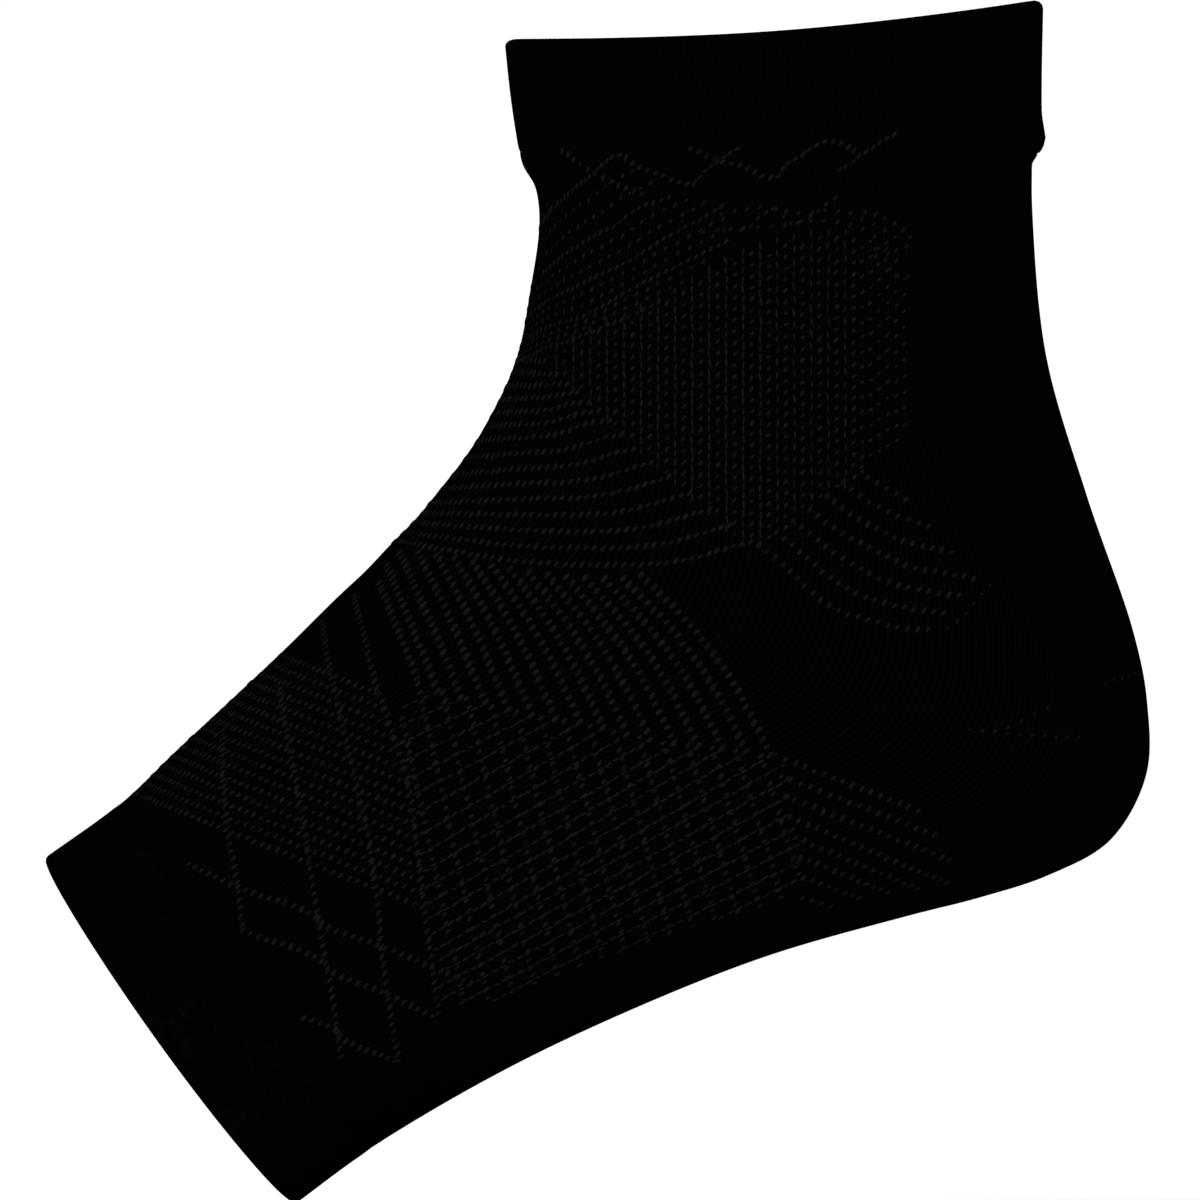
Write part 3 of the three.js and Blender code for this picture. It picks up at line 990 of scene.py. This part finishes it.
def mixed(place, share, first, second):
    made = place.node("ShaderNodeMix", {"data_type": "RGBA"})
    plug(place.tree, share, made.inputs[0])
    plug(place.tree, first, made.inputs[6])
    plug(place.tree, second, made.inputs[7])
    return Wire(place.tree, made.outputs[2])


def bumped(place, height, distance):
    made = place.node("ShaderNodeBump", Height=height, Distance=distance, Strength=1.0)
    return made.outputs["Normal"]


def grey(value, tint=1.0):
    return (value, value, value * tint, 1.0)


# %% Knitted cloth
# A leg of yarn: its height between beads, what a bead adds, and the power that rounds it. Scales are of the
# noise on Object coordinates, in features to the metre.
YARN_FLAT, YARN_BEAD, YARN_EDGE = 0.35, 0.65, 0.7
LEG_SLANT = 1.5
FIBRE_SCALE, FIBRE_HEIGHT = 5200.0, 0.18
PATCH_SCALE, PATCH_FLOOR, PATCH_DEPTH = 55.0, 0.75, 0.5
FLECK_SCALE, FLECK_SPREAD_SCALE, FLECK_LIGHT = 900.0, 38.0, 3.2
DARK_TINT, LIGHT_TINT = 1.04, 1.05


def knit_material(name, dark, light, relief, heather=0.0, roughness=0.92):
    """Fine V stitches from the UV map. dark is painted shade in the gaps between yarns, light is the yarn.
    """
    material, tree, shader, place = new_material(name, roughness)
    uv = tree.nodes.new("ShaderNodeUVMap")
    uv.uv_map = "stitches"
    split = place.node("ShaderNodeSeparateXYZ", Vector=Wire(tree, uv.outputs["UV"]))
    wale, course = Wire(tree, split.outputs["X"]), Wire(tree, split.outputs["Y"])

    off_centre = abs(wale.part() - 0.5)
    leg = (1.0 - (off_centre * 4.0 - 1.0) ** 2.0).at_least(0.0)
    along = (course + off_centre * LEG_SLANT).part()
    bead = (along * math.pi).sine().at_least(0.0)
    yarn = (leg * (YARN_FLAT + YARN_BEAD * bead)) ** YARN_EDGE
    fibre = noise(place, FIBRE_SCALE, 3.0)
    height = yarn + fibre * FIBRE_HEIGHT

    patch = noise(place, PATCH_SCALE, 3.0)
    # The colour follows the yarn's height, so the gaps are painted dark as shade, and random patches vary
    # the yarn's tone.
    shade = yarn * (PATCH_FLOOR + PATCH_DEPTH * patch)
    colour = mixed(place, shade.at_most(1.0), grey(dark, DARK_TINT), grey(light, LIGHT_TINT))
    if heather:
        fleck = ((noise(place, FLECK_SCALE) - 0.52) * 9.0).at_least(0.0).at_most(1.0)
        spread = ((noise(place, FLECK_SPREAD_SCALE) - 0.42) * 5.0).at_least(0.0).at_most(1.0)
        pale = grey(light * FLECK_LIGHT, LIGHT_TINT)
        colour = mixed(place, fleck * spread * heather, colour, pale)
    plug(tree, colour, shader.inputs["Base Color"])
    plug(tree, bumped(place, height, relief), shader.inputs["Normal"])
    return material


RAISED_PATCH_SCALE, RAISED_FIBRE_SCALE, RAISED_RELIEF = 420.0, 6500.0, 0.00008


def yarn_material(name, dark, light, roughness=0.85):
    """The yarn of the raised stitches, with fine fibres and a little unevenness from stitch to stitch."""
    material, tree, shader, place = new_material(name, roughness)
    patch = noise(place, RAISED_PATCH_SCALE)
    fibre = noise(place, RAISED_FIBRE_SCALE, 3.0)
    share = (patch * 1.6 - 0.3).at_least(0.0).at_most(1.0)
    colour = mixed(place, share, grey(dark, 1.02), grey(light, 1.03))
    plug(tree, colour, shader.inputs["Base Color"])
    plug(tree, bumped(place, fibre, RAISED_RELIEF), shader.inputs["Normal"])
    return material


body_knit = knit_material("body_knit", 0.0002, 0.0010, 0.0003)
cuff_knit = knit_material("cuff_knit", 0.0002, 0.0008, 0.00022)
band_knit = knit_material("band_knit", 0.0002, 0.0010, 0.00025, heather=0.25)
raised_yarn = yarn_material("raised_yarn", 0.0026, 0.0074)
for piece, material in ((body, body_knit), (cuff, cuff_knit), (band, band_knit)):
    piece.data.materials.append(material)
print("materials:", [m.name for m in bpy.data.materials])

# %% Raise the stitches
relief = {
    "border_stitches": (
        cloth_lines(ZIGZAG[:1], "stroke", over=True)
        + cloth_lines(ZIGZAG[1:], "stroke")
        + cloth_lines(SLANTS, "stroke", over=True, size=0.85)
        + cloth_lines(hatch_rows, "hatch", over=True)
        + cloth_lines(PANEL_EDGE, "loose", size=0.85)
        + cloth_lines(PANEL_HEAD, "hatch")
    ),
    "ankle_stitches": (
        cloth_lines(uprights, "line")
        + cloth_lines(broken_uprights, "broken")
        + cloth_lines(upright_dots, "dot")
        + cloth_lines(last_dots, "sparse")
    ),
    "upper_fan_stitches": cloth_lines(
        [UPPER_FAN_TOP] + family(UPPER_FAN, UPPER_FAN_ROWS), "fan", over=True
    ),
    "heel_fan_stitches": (
        cloth_lines(family(HEEL_FAN, HEEL_FAN_ROWS), "loose")
        + cloth_lines([HEEL_FAN_END], "faint")
        + cloth_lines(lower_heel_fan, "loose")
        + cloth_lines(GORE, "faint")
    ),
    "stripe_stitches": cloth_lines(stripes, "fan", size=1.2),
    "foot_stitches": cloth_lines(foot_lines, "line") + cloth_lines(foot_columns, "column"),
    "forefoot_stitches": (
        cloth_lines(forefoot_rows, "fan", over=True, size=0.9)
        + cloth_lines(STEEP, "steep")
        + cloth_lines(LATTICE, "stroke")
    ),
}
raised = [
    stitched(name, lines, raised_yarn, seed) for seed, (name, lines) in enumerate(relief.items(), 1)
]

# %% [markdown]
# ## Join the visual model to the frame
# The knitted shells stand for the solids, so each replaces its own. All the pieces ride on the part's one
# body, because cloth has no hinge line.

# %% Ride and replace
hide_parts("sleeve_body")
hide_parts("ankle_cuff")
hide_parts("toe_band")
for piece, slot in ((body, "body_knit"), (cuff, "cuff_knit"), (band, "band_knit")):
    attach(piece, "root")
for piece in raised:
    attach(piece, "root")

# %% [markdown]
# ## The studio
# A white floor just under the toe edge, a white room and one large soft light from the upper front. The
# camera looks level along +Y from far away with a long lens, as in the product view.

# %% Floor, light and camera
FLOOR_DROP = 0.004
FLOOR_REACH = 12.0
FLOOR_GREYS = 0.93, 0.96
ROOM_LIGHT = 1.08
LAMP_SIZE, LAMP_POWER = 0.9, 12.0
LAMP_PLACE, LAMP_AIM = Vector((-0.9, -1.1, 1.2)), Vector((-0.08, 0.0, 0.05))

floor_level = cad_box[0][2] - FLOOR_DROP
reach = FLOOR_REACH
corners = [(-reach, -reach), (reach, -reach), (reach, reach), (-reach, reach)]
floor_points = np.array([(x, y, floor_level) for x, y in corners])
floor = mesh_object("floor", floor_points, np.array([[0, 1, 2, 3]]))
floor_paint, tree, shader, place = new_material("floor_paint", 0.8)
grain = noise(place, 30.0, 3.0)
plug(tree, mixed(place, grain, *map(grey, FLOOR_GREYS)), shader.inputs["Base Color"])
floor.data.materials.append(floor_paint)

world = bpy.data.worlds.new("room")
world.use_nodes = True
room = world.node_tree.nodes["Background"]
room.inputs["Color"].default_value = (1.0, 1.0, 1.0, 1.0)
room.inputs["Strength"].default_value = ROOM_LIGHT
bpy.context.scene.world = world
bpy.context.scene.view_settings.view_transform = "Standard"

lamp = bpy.data.lights.new("soft_light", "AREA")
lamp.shape = "DISK"
lamp.size = LAMP_SIZE
lamp.energy = LAMP_POWER
lamp_object = bpy.data.objects.new("soft_light", lamp)
lamp_object.location = LAMP_PLACE
lamp_object.rotation_euler = (LAMP_AIM - LAMP_PLACE).to_track_quat("-Z", "Y").to_euler()
bpy.context.scene.collection.objects.link(lamp_object)

VIEW_CENTRE = (-0.07805, 0.0467)
VIEW_WIDTH = 0.210
CAMERA_DISTANCE = 3.0
camera = bpy.data.cameras.new("camera")
camera.sensor_width = 36.0
camera.lens = camera.sensor_width * CAMERA_DISTANCE / VIEW_WIDTH
camera.clip_end = 60.0
camera_object = bpy.data.objects.new("camera", camera)
camera_object.location = (VIEW_CENTRE[0], -CAMERA_DISTANCE, VIEW_CENTRE[1])
camera_object.rotation_euler = (math.radians(90), 0.0, 0.0)
bpy.context.scene.collection.objects.link(camera_object)
bpy.context.scene.camera = camera_object
